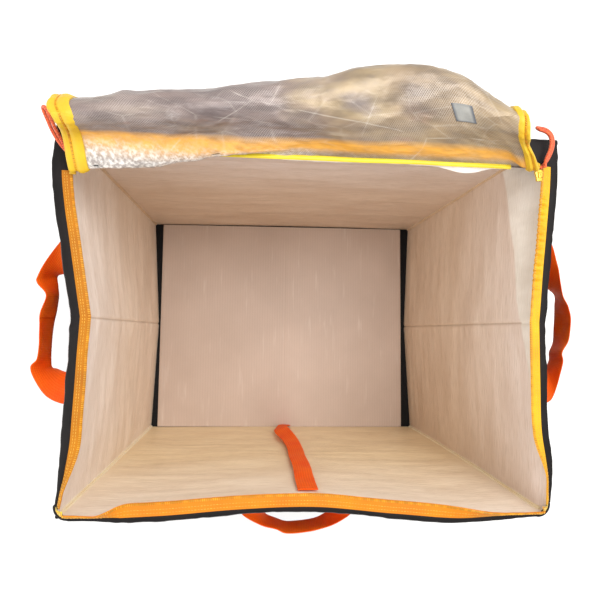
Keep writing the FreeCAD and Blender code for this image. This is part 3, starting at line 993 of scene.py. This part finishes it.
def make_board():
    """Fluted plastic board: closed flutes show at its cut ends and as faint ridges on top."""
    left, right = -260.0, 245.0
    columns = np.arange(left, right + 0.1, 1.3)
    x, v = np.meshgrid(columns, np.linspace(0, 1, 40))
    share = (x - left) / (right - left)
    y = (-210 - 5.5 * share) * (1 - v) + (202 + 6 * share) * v
    flute = 0.16 * np.cos((x - left) * 2 * np.pi / 5.2)
    sag = 0.35 * soft_noise(x / 120, y / 120, 131)
    round_off = np.minimum(ease(x, left, left + 2.6), ease(-x, -right, -right + 2.6))
    top = 8.05 + flute + sag - 1.1 * (1 - round_off)
    centre_line = 0.5 * np.exp(-((x + 6) / 0.9) ** 2)
    board = slab_piece("floor_board_sheet", BOARD, stack(x, y, top - centre_line),
                       stack(x, y, 3.7 + 0.9 * (1 - round_off)), x, y)
    settle(board, "board_plastic", ["floor_board"], "board")


def make_strap():
    """The pull strap: from the board's front edge up the front wall."""
    wide, thick = 25, 1.8
    keys = [(-3.5, -210.0, 8.6), (-4, -209.6, 12), (-5, -208, 20), (-8, -205.5, 38), (-13, -202, 62),
            (-17, -199, 95), (-10, -201, 132), (-3, -204, 170), (0, -206.5, 215),
            (-1, -206, 260), (0.5, -206.5, 310), (-1, -207, 360), (-1.5, -207.5, 407)]
    across = [X, X, X, (1, 0.1, 0.0), (1, 0.35, 0.1), (1, 0.45, 0.25), (1, 0.3, 0.3), (1, 0.1, 0.1),
              X, X, X, X, X]
    keys, across = np.array(keys, float), np.array(across, float)
    k = np.arange(len(keys), dtype=float)
    fine = np.linspace(0, k[-1], 26 * (len(keys) - 1) + 1)
    path = smooth_path(k, keys, fine)
    n = lengths(path)
    stations = np.linspace(0, n[-1], int(n[-1] / 2.0) + 2)
    path = read_at(stations, n, path)[0]
    across = smooth_path(k, across, np.interp(stations, n, fine))
    tangent = unit(np.gradient(path, axis=0))
    across = unit(across - tangent * np.sum(across * tangent, axis=1, keepdims=True))
    v = np.array((-1, -0.985, -0.9, -0.6, -0.3, 0, 0.3, 0.6, 0.9, 0.985, 1))
    cup = 0.6 * soft_noise(stations / 30, 0 * stations, 141)[:, None] * (1 - v[None] ** 2) * 2
    lift = cup + 0.5 * soft_noise(stations[:, None] / 18 + 0 * v, v[None] * 1.2 + 5, 142)
    edge = np.clip(1 - np.abs(v) ** 12, 0.35, 1) * thick / 2
    upper, lower = (stack(wide / 2 * v[None], lift + side * edge[None]) for side in (1, -1))
    profile = np.concatenate((upper, lower[:, ::-1]), axis=1)
    strap = Piece()
    strap.tube(sweep(path, across, np.cross(tangent, across), profile),
               stack(stations[:, None], profile[..., 0]) * MM)
    strap = strap.make("pull_strap_webbing", [WEBBING, THREAD_ORANGE])
    settle(strap, "webbing", ["pull_strap"], "board")
    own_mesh(strap)


# ---------------------------------------------------------------- handles

def patch_points(side, y, z, n):
    """Points on a wall's outer face, for a strap end sewn to it."""
    if side is None:
        return stack(y, front_y(y, z) - WALL - n, z)
    t = np.where(y > CREASE_Y, (y - CREASE_Y) / (REAR_Y - CREASE_Y),
                 (y - CREASE_Y) / (CREASE_Y - FRONT_Y))
    return side.point(t, z, WALL + n)


def make_patch(piece, side, middle):
    low, high, half = 340, 404, 19
    u, v = np.meshgrid(np.linspace(-half, half, 16), np.linspace(low, high, 28))
    along = middle + u
    edge = ease(half - np.abs(u), 0, 2) * ease(v, low, low + 2)
    piece.slab(patch_points(side, along, v, 0.6 + 1.3 * edge),
               patch_points(side, along, v, -0.8 + 0 * u), v, u)
    corners = [(-15, low + 5), (15, low + 5), (15, low + 37), (-15, low + 37), (-15, low + 5),
               (15, low + 37), (15, low + 5), (-15, low + 37)]
    for a, b in zip(corners[:-1], corners[1:]):
        a, b = np.array(a, float), np.array(b, float)
        span = np.linalg.norm(b - a)
        for k in np.arange(1.7, span - 1, 3.3):
            here, there = a + (b - a) * (k - 1.1) / span, a + (b - a) * (k + 1.1) / span
            start = patch_points(side, np.array(middle + here[0]), np.array(here[1]), 1.9)
            end = patch_points(side, np.array(middle + there[0]), np.array(there[1]), 1.9)
            way = unit(end - start)
            out = np.array((side.sign, 0.0, 0.0)) if side else np.array((0.0, -1.0, 0.0))
            piece.studs((start + end) / 2, way, unit(np.cross(out, way)), out, (2.3, 0.7, 0.5), 1)


def standing_band(name, keys, seed, cut=None, thick=2.2):
    """Webbing on edge: each key gives a point of its upper edge and one of its lower edge."""
    upper, lower = np.array(keys, float).transpose(1, 0, 2)
    k = np.arange(len(keys), dtype=float)
    fine = np.linspace(0, k[-1], 24 * (len(keys) - 1) + 1)
    n = lengths((smooth_path(k, upper, fine) + smooth_path(k, lower, fine)) / 2)
    stations = np.linspace(0, n[-1], int(n[-1] / 1.6) + 2)
    where = np.interp(stations, n, fine)
    upper, lower = smooth_path(k, upper, where), smooth_path(k, lower, where)
    middle = (upper + lower) / 2
    tangent = unit(np.gradient(middle, axis=0))
    across = lower - upper
    face = unit(np.cross(tangent, unit(across)))
    v = np.array((-1, -0.985, -0.9, -0.7, -0.45, -0.2, 0, 0.2, 0.45, 0.7, 0.9, 0.985, 1))
    cup = 1.1 * soft_noise(stations / 27, 0 * stations, seed)[:, None] * (1 - v[None] ** 2)
    wave = 0.7 * soft_noise(stations[:, None] / 15 + 0 * v, v[None] * 1.3 + 5, seed + 1)
    edge = np.clip(1 - np.abs(v) ** 12, 0.35, 1) * thick / 2
    surface = middle[:, None] + across[:, None] * v[None, :, None] / 2
    front = surface + face[:, None] * (cup + wave + edge)[..., None]
    back = surface + face[:, None] * (cup + wave - edge)[..., None]
    rings = np.concatenate((front, back[:, ::-1]), axis=1)
    rows = np.concatenate((v, v[::-1])) * 19
    flats = stack(stations[:, None] + 0 * rows, rows[None] + 0 * stations[:, None]) * MM
    keep = np.ones(len(stations), bool) if cut is None else cut(middle)
    band = Piece()
    band.tube(rings[keep], flats[keep])
    return band.make(name, [WEBBING, THREAD_ORANGE])


LEFT_HANDLE = (
    ((-285, 99, 372), (-284.5, 61, 372)), ((-286, 99, 391), (-285, 61, 390)),
    ((-296, 97, 401), (-292, 57, 389)), ((-312, 73, 404), (-307, 53, 374)),
    ((-326, 48, 403), (-318, 50, 368)), ((-328, 38, 401), (-317, 38, 368)),
    ((-316, 23, 402), (-316, 24, 367)), ((-321, 3, 403), (-318, 5, 367)),
    ((-322, -12, 403), (-321, -12, 367)), ((-321, -36, 403), (-322, -37, 367)),
    ((-323, -52, 403), (-322, -53, 367)), ((-330, -61, 402), (-320, -64, 368)),
    ((-325, -76, 401), (-313, -66, 370)), ((-313, -95, 399), (-302, -69, 376)),
    ((-296, -105, 395), (-290, -69, 387)), ((-279, -106, 389), (-278, -68, 389)),
    ((-276, -106, 372), (-275.5, -68, 372)))
RIGHT_HANDLE = (
    ((281, 107, 372), (280.5, 69, 372)), ((284, 107, 392), (283, 69, 390)),
    ((302, 111, 402), (297, 72, 388)), ((321, 108, 403), (313, 75, 375)),
    ((331, 80, 402), (327, 66, 368)), ((335, 52, 402), (340, 49, 367)),
    ((339, 34, 401), (350, 38, 367)), ((345, 20, 402), (351, 22, 366)),
    ((348, 2, 402), (350, 2, 366)), ((344, -24, 402), (347, -27, 366)),
    ((335, -41, 402), (341, -42, 366)), ((336, -54, 401), (339, -53, 367)),
    ((328, -83, 400), (329, -68, 370)), ((319, -104, 398), (310, -71, 378)),
    ((301, -108, 394), (294, -70, 387)), ((281, -107, 389), (280, -69, 389)),
    ((278, -107, 372), (278, -69, 372)))
FRONT_HANDLE = (
    ((-85, -224.5, 372), (-47, -224.5, 372)), ((-85, -226, 391), (-47, -226, 390)),
    ((-80, -237, 401), (-53, -236, 379)), ((-57, -250, 402), (-51, -249, 368)),
    ((-39, -255, 402), (-37, -256, 366)), ((-24, -260, 402), (-20, -260, 366)),
    ((8, -258, 402), (10, -257, 366)), ((30, -251, 402), (27, -250, 367)),
    ((48, -243, 401), (37, -243, 374)), ((59, -234, 398), (31, -232, 385)),
    ((61, -226, 390), (23, -226, 390)), ((61, -224.5, 372), (23, -224.5, 372)))


def make_side_handle(side, keys):
    s = side.sign
    for half, test in (("rear", lambda p: p[:, 1] > CREASE_Y - 1.2),
                       ("front", lambda p: p[:, 1] < CREASE_Y + 1.2)):
        strap = standing_band(f"{side.name}_{half}_handle_webbing", keys, 151 + s, test)
        body = f"{side.name}_{half}_wall"
        nodes = [side.name + "_handle"] if half == "rear" else ()
        settle(strap, "webbing", nodes, body)
        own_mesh(strap)
        patch = Piece()
        middle = {"rear": 80 if s < 0 else 88, "front": -87}[half]
        make_patch(patch, side, middle)
        settle(patch.make(f"{side.name}_{half}_handle_end", [WEBBING, THREAD_ORANGE]), "webbing",
               [f"{side.name}_{half}_handle_patch"], body)


def make_handles():
    make_side_handle(LEFT, LEFT_HANDLE)
    make_side_handle(RIGHT, RIGHT_HANDLE)
    strap = standing_band("front_handle_webbing", FRONT_HANDLE, 161)
    settle(strap, "webbing", ["front_handle"], "front_wall")
    patches = Piece()
    for middle in (-66, 42):
        make_patch(patches, None, middle)
    settle(patches.make("front_handle_ends", [WEBBING, THREAD_ORANGE]), "webbing",
           ["front_handle_patches"], "front_wall")


# ---------------------------------------------------------------- lid

LID_LENGTH = 402.0
LID_Y = smooth_line((0, 188), (10, 191), (25, 197), (45, 207), (62, 219), (80, 236), (95, 250),
                    (108, 258), (125, 262), (160, 264), (250, 263), (402, 259))
LID_Z = smooth_line((0, 454), (10, 463.5), (25, 477), (45, 493), (62, 504), (80, 509), (95, 504),
                    (108, 494), (125, 478), (160, 443), (250, 353), (402, 203))
LID_LEFT = smooth_line((0, -275), (30, -275.5), (45, -273.5), (62, -272), (76, -274), (90, -279),
                       (100, -279), (112, -281), (140, -277), (250, -270), (402, -267))
LID_RIGHT = smooth_line((0, 276), (15, 268), (40, 246), (62, 233), (90, 229), (120, 236),
                        (200, 256), (402, 266))
LID_SWAY = smooth_line((0, -37), (0.14, -28), (0.26, -22), (0.42, -6), (0.54, 3), (0.75, 19),
                       (0.84, 15), (0.93, -6), (1, -24))
SWAY_SHARE = smooth_line((0, 0), (20, 0.12), (45, 0.5), (80, 1), (108, 1), (160, 0.85), (250, 0.4),
                         (402, 0))
SAG = smooth_line((0, 34), (0.1, 29), (0.25, 19), (0.33, 11), (0.42, 3), (0.5, 0), (0.6, 0),
                  (0.8, 0), (1, 0))
LEFT_BAND, RIGHT_BAND = 18.5, 14.0
LEFT_EDGE, RIGHT_EDGE = LEFT_BAND / 540, 1 - RIGHT_BAND / 530


def lid_base(a, s):
    """The lid's middle surface: a across from left to right, s along it from the fold."""
    left, right = LID_LEFT(s), LID_RIGHT(s)
    x = left + (right - left) * a
    forward = (SAG(a) + 9 * ease(a, 0.925, 0.96)) * np.exp(-((s - 15) / 13) ** 2) * ease(s, 0, 12)
    y = LID_Y(s) + LID_SWAY(a) * SWAY_SHARE(s) - forward
    z = LID_Z(s) - 0.30 * forward + 3.0 * np.sin(a * 9) * ease(s, 40, 90) * ease(-s, -200, -110)
    return stack(x, y, z)


def lid_normals(a, s):
    da, ds = 1e-3, 0.5
    across = (lid_base(a + da, s) - lid_base(a - da, s)) / da
    along = (lid_base(a, s + ds) - lid_base(a, s - ds)) / ds
    return unit(np.cross(across, along))


def crumple(a, s):
    """How far the foil stands out of the lid's middle surface."""
    u, v = a * 520, s
    broad = 3.6 * soft_noise(u / 95, v / 60, 171) + 2.0 * soft_noise(u / 47, v / 38, 172)
    turned_u, turned_v = u * 0.83 + v * 0.56, -u * 0.56 + v * 0.83
    sharp = 1.5 * ridge_noise(turned_u / 34, turned_v / 70, 173) + 1.1 * ridge_noise(
        (u * 0.75 - v * 0.66) / 26, (u * 0.66 + v * 0.75) / 60, 174)
    fine = 0.6 * ridge_noise(u / 13, v / 9, 175)
    low_edge = 2.2 * soft_noise(u / 14, v / 8, 176) * np.exp(-(s / 14) ** 2) * (a < 0.5)
    crinkle = (0.9 * ridge_noise((u + v) / 7, (v - 0.6 * u) / 11, 178) + 0.8 * ridge_noise(
        u / 17, (v + 0.4 * u) / 9, 179)) * ease(s, 3, 14) * np.exp(
            -((s - 19) / 9) ** 2) * (1 - ease(a, 0.38, 0.52))
    fold_u, fold_v = u * 0.94 + v * 0.34, -u * 0.34 + v * 0.94
    folds = 2.4 * ridge_noise(fold_u / 130, fold_v / 21, 177) * ease(s, 30, 50) * ease(a, 0.1, 0.5)
    still = ease(np.minimum(a, 1 - a), 0, 0.04) * 0.75 + 0.25
    calm = 0.15 + 0.85 * ease(s, 1, 14)
    shape = (broad * ease(s, 6, 45) + sharp + fine + folds - 2.6) * calm
    return (shape + low_edge + crinkle) * still


AB_Y, BC_Y = 199.0, 221.0


def cut_length(a, level):
    """How far along the lid each column first reaches level in Y, past the fold."""
    s = np.linspace(32, 118, 400)
    y = lid_base(a[:, None], s[None])[..., 1]
    return s[np.argmax(y >= level, axis=1)]


LID_STRIPS = (
    ("near", "root", "lid_1", (0, 0.1815, 0.4575), (0, 0.194, 0.481)),
    ("crest", "lid_1", "lid_2", (0, 0.203, 0.5), (0, 0.217, 0.5)),
    ("far", "lid_2", "lid_3", (0, 0.2285, 0.4915), (0, 0.2470, 0.4730)),
)


def strip_range(index, a):
    starts = (0 * a, cut_length(a, AB_Y), cut_length(a, BC_Y), LID_LENGTH + 0 * a)
    return starts[index], starts[index + 1]


def make_lid():
    columns = np.linspace(LEFT_EDGE, RIGHT_EDGE, 190)
    for index, (name, first, second, start, end) in enumerate(LID_STRIPS):
        rows = (56, 22, 110)[index]
        low, high = strip_range(index, columns)
        k = np.linspace(0, 1, rows)[:, None]
        s = low[None] + (high - low)[None] * k
        a = np.broadcast_to(columns[None], s.shape)
        middle, normal = lid_base(a, s), lid_normals(a, s)
        proud = crumple(a, s)[..., None]
        flats = (a * 530, s - 0.58 * SAG(a))
        where = (first, second, start, end)
        foil = slab_piece(f"lid_{name}_foil", FOIL, middle + normal * (proud + 0.5),
                          middle + normal * (proud - 0.4), *flats, crease=0.9)
        settle(foil, "lid_foil", [f"lid_{index + 1}_foil"], blend=where)
        calm = proud * 0.8
        shell = slab_piece(f"lid_{name}_shell", SHELL, middle + normal * (calm - 1.6),
                           middle + normal * (calm - 3.2), *flats)
        settle(shell, "shell_fabric", [f"lid_{index + 1}_shell"], blend=where)
        make_lid_tapes(index, name, where)
    make_label()


def band_profile(width, n, seed):
    """A puffy folded tape with a valley for its coil, one profile per station."""
    shape = np.array([(-4, -2.0), (-4, 0.8), (-1, 2.2), (3, 3.4), (7, 3.2), (10, 1.6), (12, 1.6),
                      (15, 3.1), (18, 3.2), (20.5, 1.9), (21.5, -0.4), (20, -2.8), (14, -3.9),
                      (7, -4.0), (0, -3.6)])
    shape[:, 0] *= width / 21.5
    swell = 1 + 0.24 * soft_noise(n / 11, 0 * n, seed) + 0.12 * soft_noise(n / 4.5, 0 * n, seed + 1)
    profile = per_station(shape, len(n))
    profile[..., 1] *= swell[:, None]
    profile[..., 0] *= (1 + 0.07 * soft_noise(n / 17, 0 * n, seed + 2))[:, None]
    return profile


def make_lid_tapes(index, name, where):
    bands = Piece()
    for edge, width, sign, seed in ((LEFT_EDGE, LEFT_BAND, -1, 181),
                                    (RIGHT_EDGE, RIGHT_BAND, 1, 191)):
        low, high = strip_range(index, np.array([edge]))
        first = -7.0 if index == 0 else low[0]
        s = np.linspace(first, high[0], max(int((high[0] - first) / 1.6), 8))
        a = np.full_like(s, edge)
        path = lid_base(a, s) + lid_normals(a, s) * crumple(a, s)[:, None] * 0.5
        path[:, 2] += np.minimum(s, 0) * 0.5
        path[:, 1] += np.minimum(s, 0) * 0.3
        normal = lid_normals(a, np.maximum(s, 0))
        turn = 0.16 * soft_noise(s / 40, 0 * s, seed) if sign < 0 else 0.5 * np.exp(
            -((s - 42) / 16) ** 2)
        side_way = unit(lid_base(a + 0.01, np.maximum(s, 0)) - lid_base(a, np.maximum(s, 0))) * sign
        q_dir = unit(side_way * np.cos(turn)[:, None] - normal * np.sin(turn)[:, None])
        r_dir = unit(normal * np.cos(turn)[:, None] + side_way * np.sin(turn)[:, None])
        pinch = 1 - 0.35 * (sign > 0) * np.exp(-((s - 38) / 12) ** 2)
        profile = band_profile(width, s, seed)
        profile[..., 0] *= pinch[:, None]
        bands.strip(path, q_dir, r_dir, profile)
        n = lengths(path)
        at = np.arange(1, n[-1], 2.0)
        centre, q, r = read_at(at, n, path, q_dir, r_dir)
        bands.studs(centre + q * width * 0.5 + r * 1.4, unit(np.cross(q, r)), q, r,
                    (1.35, 2.8, 1.2), 1)
    if index == 2:
        a = np.linspace(LEFT_EDGE - 0.03, RIGHT_EDGE + 0.02, 260)
        s = np.full_like(a, LID_LENGTH - 3)
        path, normal = lid_base(a, s), lid_normals(a, s)
        n = lengths(path)
        down = unit(lid_base(a, s) - lid_base(a, s - 5))
        profile = band_profile(15, n, 201) * (1, 0.7)
        bands.strip(path, down, normal, profile)
        at = np.arange(1, n[-1], 2.0)
        centre, q, r = read_at(at, n, path, down, normal)
        bands.studs(centre + q * 7.5 + r * 1.0, unit(np.cross(q, r)), q, r, (1.35, 2.8, 1.2), 1)
    made = bands.make(f"lid_{name}_zip_tape", [TAPE_BRIGHT, COIL])
    settle(made, "zip_tape", [f"lid_{index + 1}_zip_tape"], blend=where)


def make_label():
    u, v = np.meshgrid(np.linspace(-1, 1, 24), np.linspace(-1, 1, 20))
    a = 0.845 + 0.0235 * u + 0.004 * v
    s = 58.0 - 7.0 * v + 1.2 * u
    middle, normal = lid_base(a, s), lid_normals(a, s)
    proud = crumple(a, s)[..., None]
    rim = ease(1 - np.maximum(np.abs(u), np.abs(v)), 0, 0.10)[..., None]
    border = ((np.maximum(np.abs(u), np.abs(v)) > 0.86) * 0.25)[..., None]
    label = slab_piece("lid_label_patch", LABEL,
                       middle + normal * (proud + 1.0 + 0.35 * rim + border),
                       middle + normal * (proud + 0.3), 20 + u * 12, 20 + v * 10)
    settle(label, "label", ["lid_label"], blend=("lid_1", "lid_2", *LID_STRIPS[1][3:]))


def rear_top():
    """The strip that the lid folds on, its binding, and the film's turned edge below."""
    fold_y = 185.0
    u, v = grid(120, 16)
    x = -270 + 556 * u
    y = 189 + (back_y(x, RIM_Z + 0 * x) + WALL - 1 - 189) * v
    z = 450.7 + 1.4 * np.sin(v * np.pi) + 0.5 * soft_noise(x / 26, y / 14, 211)
    settle(slab_piece("rear_top_cloth", STRIP, stack(x, y, z), stack(x, y, z - 1.3), x, y),
           "rear_strip", ["rear_top_strip"], "root")
    x = np.linspace(-250, 237, 240)
    path = stack(x, fold_y + 0.5 + 1.5 * ease(x, -80, 220) + 0.8 * soft_noise(x / 60, 0 * x, 213),
                 454.2 + 0.4 * soft_noise(x / 40, 0 * x, 214))
    roll = Piece()
    roll.strip(path, unit(np.array((0.0, -1.0, 0.25))), unit(np.array((0.0, 0.25, 1.0))),
               oval(14, 3.6 + 0 * x, 1.9))
    settle(roll.make("lid_fold_piping", [BINDING]), "yellow_binding", ["lid_fold_binding"], "root")
    u, v = grid(200, 14)
    x = -96 + 330 * u
    drop = 0.9 + 0.5 * soft_noise(x / 48, 0 * x, 215) + 6.0 * np.exp(-((x - 183) / 27) ** 2)
    drop = drop * ease(x, -100, -60) * (1 - 0.6 * ease(x, 195, 232)) + 0.6
    y = fold_y - 0.5 + 1.5 * ease(x, -80, 220) - 0.95 * drop * v + 0.5 * soft_noise(
        x / 12, v * 2, 216)
    z = 452.4 - 0.75 * drop * v ** 1.5
    lip = slab_piece("liner_turned_edge", FILM_EDGE_LIT, stack(x, y, z), stack(x, y + 0.2, z - 0.9),
                     x, v * drop)
    settle(lip, "liner_film", (), "root")
    u, v = grid(120, 40)
    x = -262 + 524 * u
    high, low = 451.5, 372
    y = fold_y + (back_y(x, low + 0 * x) - 1.5 - fold_y) * v ** 0.8 + 0.8 * soft_noise(
        x / 40, v * 4, 217)
    z = high - (high - low) * v
    hung = slab_piece("liner_rear_fall", FILM, stack(x, y, z), stack(x, y + 1.0, z), x, z)
    settle(hung, "liner_film", (), "root")


# ---------------------------------------------------------------- sliders

def make_slider(side):
    low, high = (np.array(corner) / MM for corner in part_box(side.name + "_slider"))
    centre = (low + high) / 2
    half = (high - low) / 2
    base = low[2]
    body = Piece()
    y = np.linspace(-1, 1, 15)
    wide = half[0] * (0.62 + 0.36 * np.exp(-((y - 0.45) / 0.55) ** 2))
    turn = np.linspace(0, 2 * np.pi, 17)[:-1]
    ring_x, ring_z = (np.sign(way) * np.abs(way) ** 0.55 for way in (np.cos(turn), np.sin(turn)))
    for lift, tall in ((0.75, 0.75), (2.6, 0.6)):
        path = stack(centre[0] + 0 * y, centre[1] + y * half[1] * 0.97, base + lift + 0 * y)
        ring = stack(ring_x[None] * wide[:, None], ring_z[None] * tall + 0 * wide[:, None])
        body.strip(path, X, UP, ring)
    y = np.linspace(-1, 1, 17)
    path = stack(centre[0] + 0 * y, centre[1] + y * half[1] * 0.6,
                 base + 2.8 + 1.45 * np.sqrt(np.clip(1 - y ** 2, 0, 1)))
    ring = stack(ring_x[None] * 1.5 + 0 * y[:, None], ring_z[None] * 0.42 + 0 * y[:, None])
    body.strip(path, X, UP, ring)
    settle(body.make(side.name + "_slider_body", [METAL]), "slider_metal", [side.name + "_slider"],
           side.name + "_slider")


for side in (LEFT, RIGHT):
    side_wall(side)
    side_rim_pieces(side)
    make_slider(side)
cross_wall("back", back_y, 1, 41, "root")
cross_wall("front", front_y, -1, 45, "front_wall")
cross_rim("back", back_y, 1, "root")
cross_rim("front", front_y, -1, "front_wall")
corner_tapes()
corner_seams()
make_floor()
make_board()
make_strap()
make_handles()
rear_top()
make_lid()

# ---------------------------------------------------------------- floor, light

ground_mesh = bpy.data.meshes.new("studio_floor")
ground_mesh.from_pydata([(-6, -6, 0), (6, -6, 0), (6, 6, 0), (-6, 6, 0)], [], [(0, 1, 2, 3)])
ground = bpy.data.objects.new("studio_floor", ground_mesh)
bpy.context.scene.collection.objects.link(ground)
pale = bpy.data.materials.new("pale_floor")
pale.use_nodes = True
pale.node_tree.nodes["Principled BSDF"].inputs["Base Color"].default_value = (0.93, 0.93, 0.93, 1)
pale.node_tree.nodes["Principled BSDF"].inputs["Roughness"].default_value = 0.9
ground_mesh.materials.append(pale)


def area_light(name, place, turn, size, energy, colour=(1, 1, 1)):
    data = bpy.data.lights.new(name, "AREA")
    data.shape = "RECTANGLE"
    data.size, data.size_y = size
    data.energy = energy
    data.color = colour
    light = bpy.data.objects.new(name, data)
    light.location, light.rotation_euler = place, turn
    bpy.context.scene.collection.objects.link(light)


world = bpy.data.worlds.new("studio")
world.use_nodes = True
world.node_tree.nodes["Background"].inputs["Color"].default_value = (1.0, 0.985, 0.97, 1)
world.node_tree.nodes["Background"].inputs["Strength"].default_value = 0.95
bpy.context.scene.world = world
area_light("key", (0.45, 0.5, 2.0), (-0.27, 0.24, 0.0), (1.2, 1.2), 28, (1.0, 0.985, 0.96))
area_light("side", (-1.3, -0.6, 1.2), (0.35, -0.85, 0.0), (1.4, 0.9), 9)
bpy.context.scene.view_settings.view_transform = "Standard"
bpy.context.scene.view_settings.look = "None"
